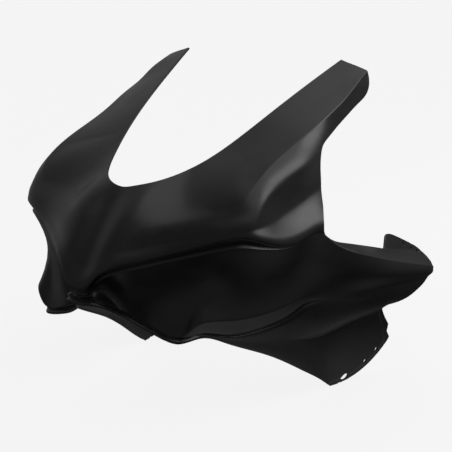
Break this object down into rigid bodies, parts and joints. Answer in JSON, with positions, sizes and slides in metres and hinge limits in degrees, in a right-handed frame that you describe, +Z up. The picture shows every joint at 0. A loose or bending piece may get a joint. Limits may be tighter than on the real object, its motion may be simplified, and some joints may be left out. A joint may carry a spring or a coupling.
{
  "type": "motorcycle upper fairing",
  "caption": "Moulded black plastic nose fairing for a sport motorcycle, with window arms, a lipped brow over side scoops, rear fins and fastener holes.",
  "frame": {"origin": "middle of the whole part's box, on the middle plane", "axes": "+X forward to the nose, +Y to the rider's left, +Z up as fitted on the motorcycle"},
  "size_m": [0.515, 0.444, 0.4338],
  "materials": {
    "moulded_plastic": "unpainted black satin moulding"
  },
  "bodies": {
    "root": {"fairing_shell": "moulded_plastic"}
  },
  "joints": []
}
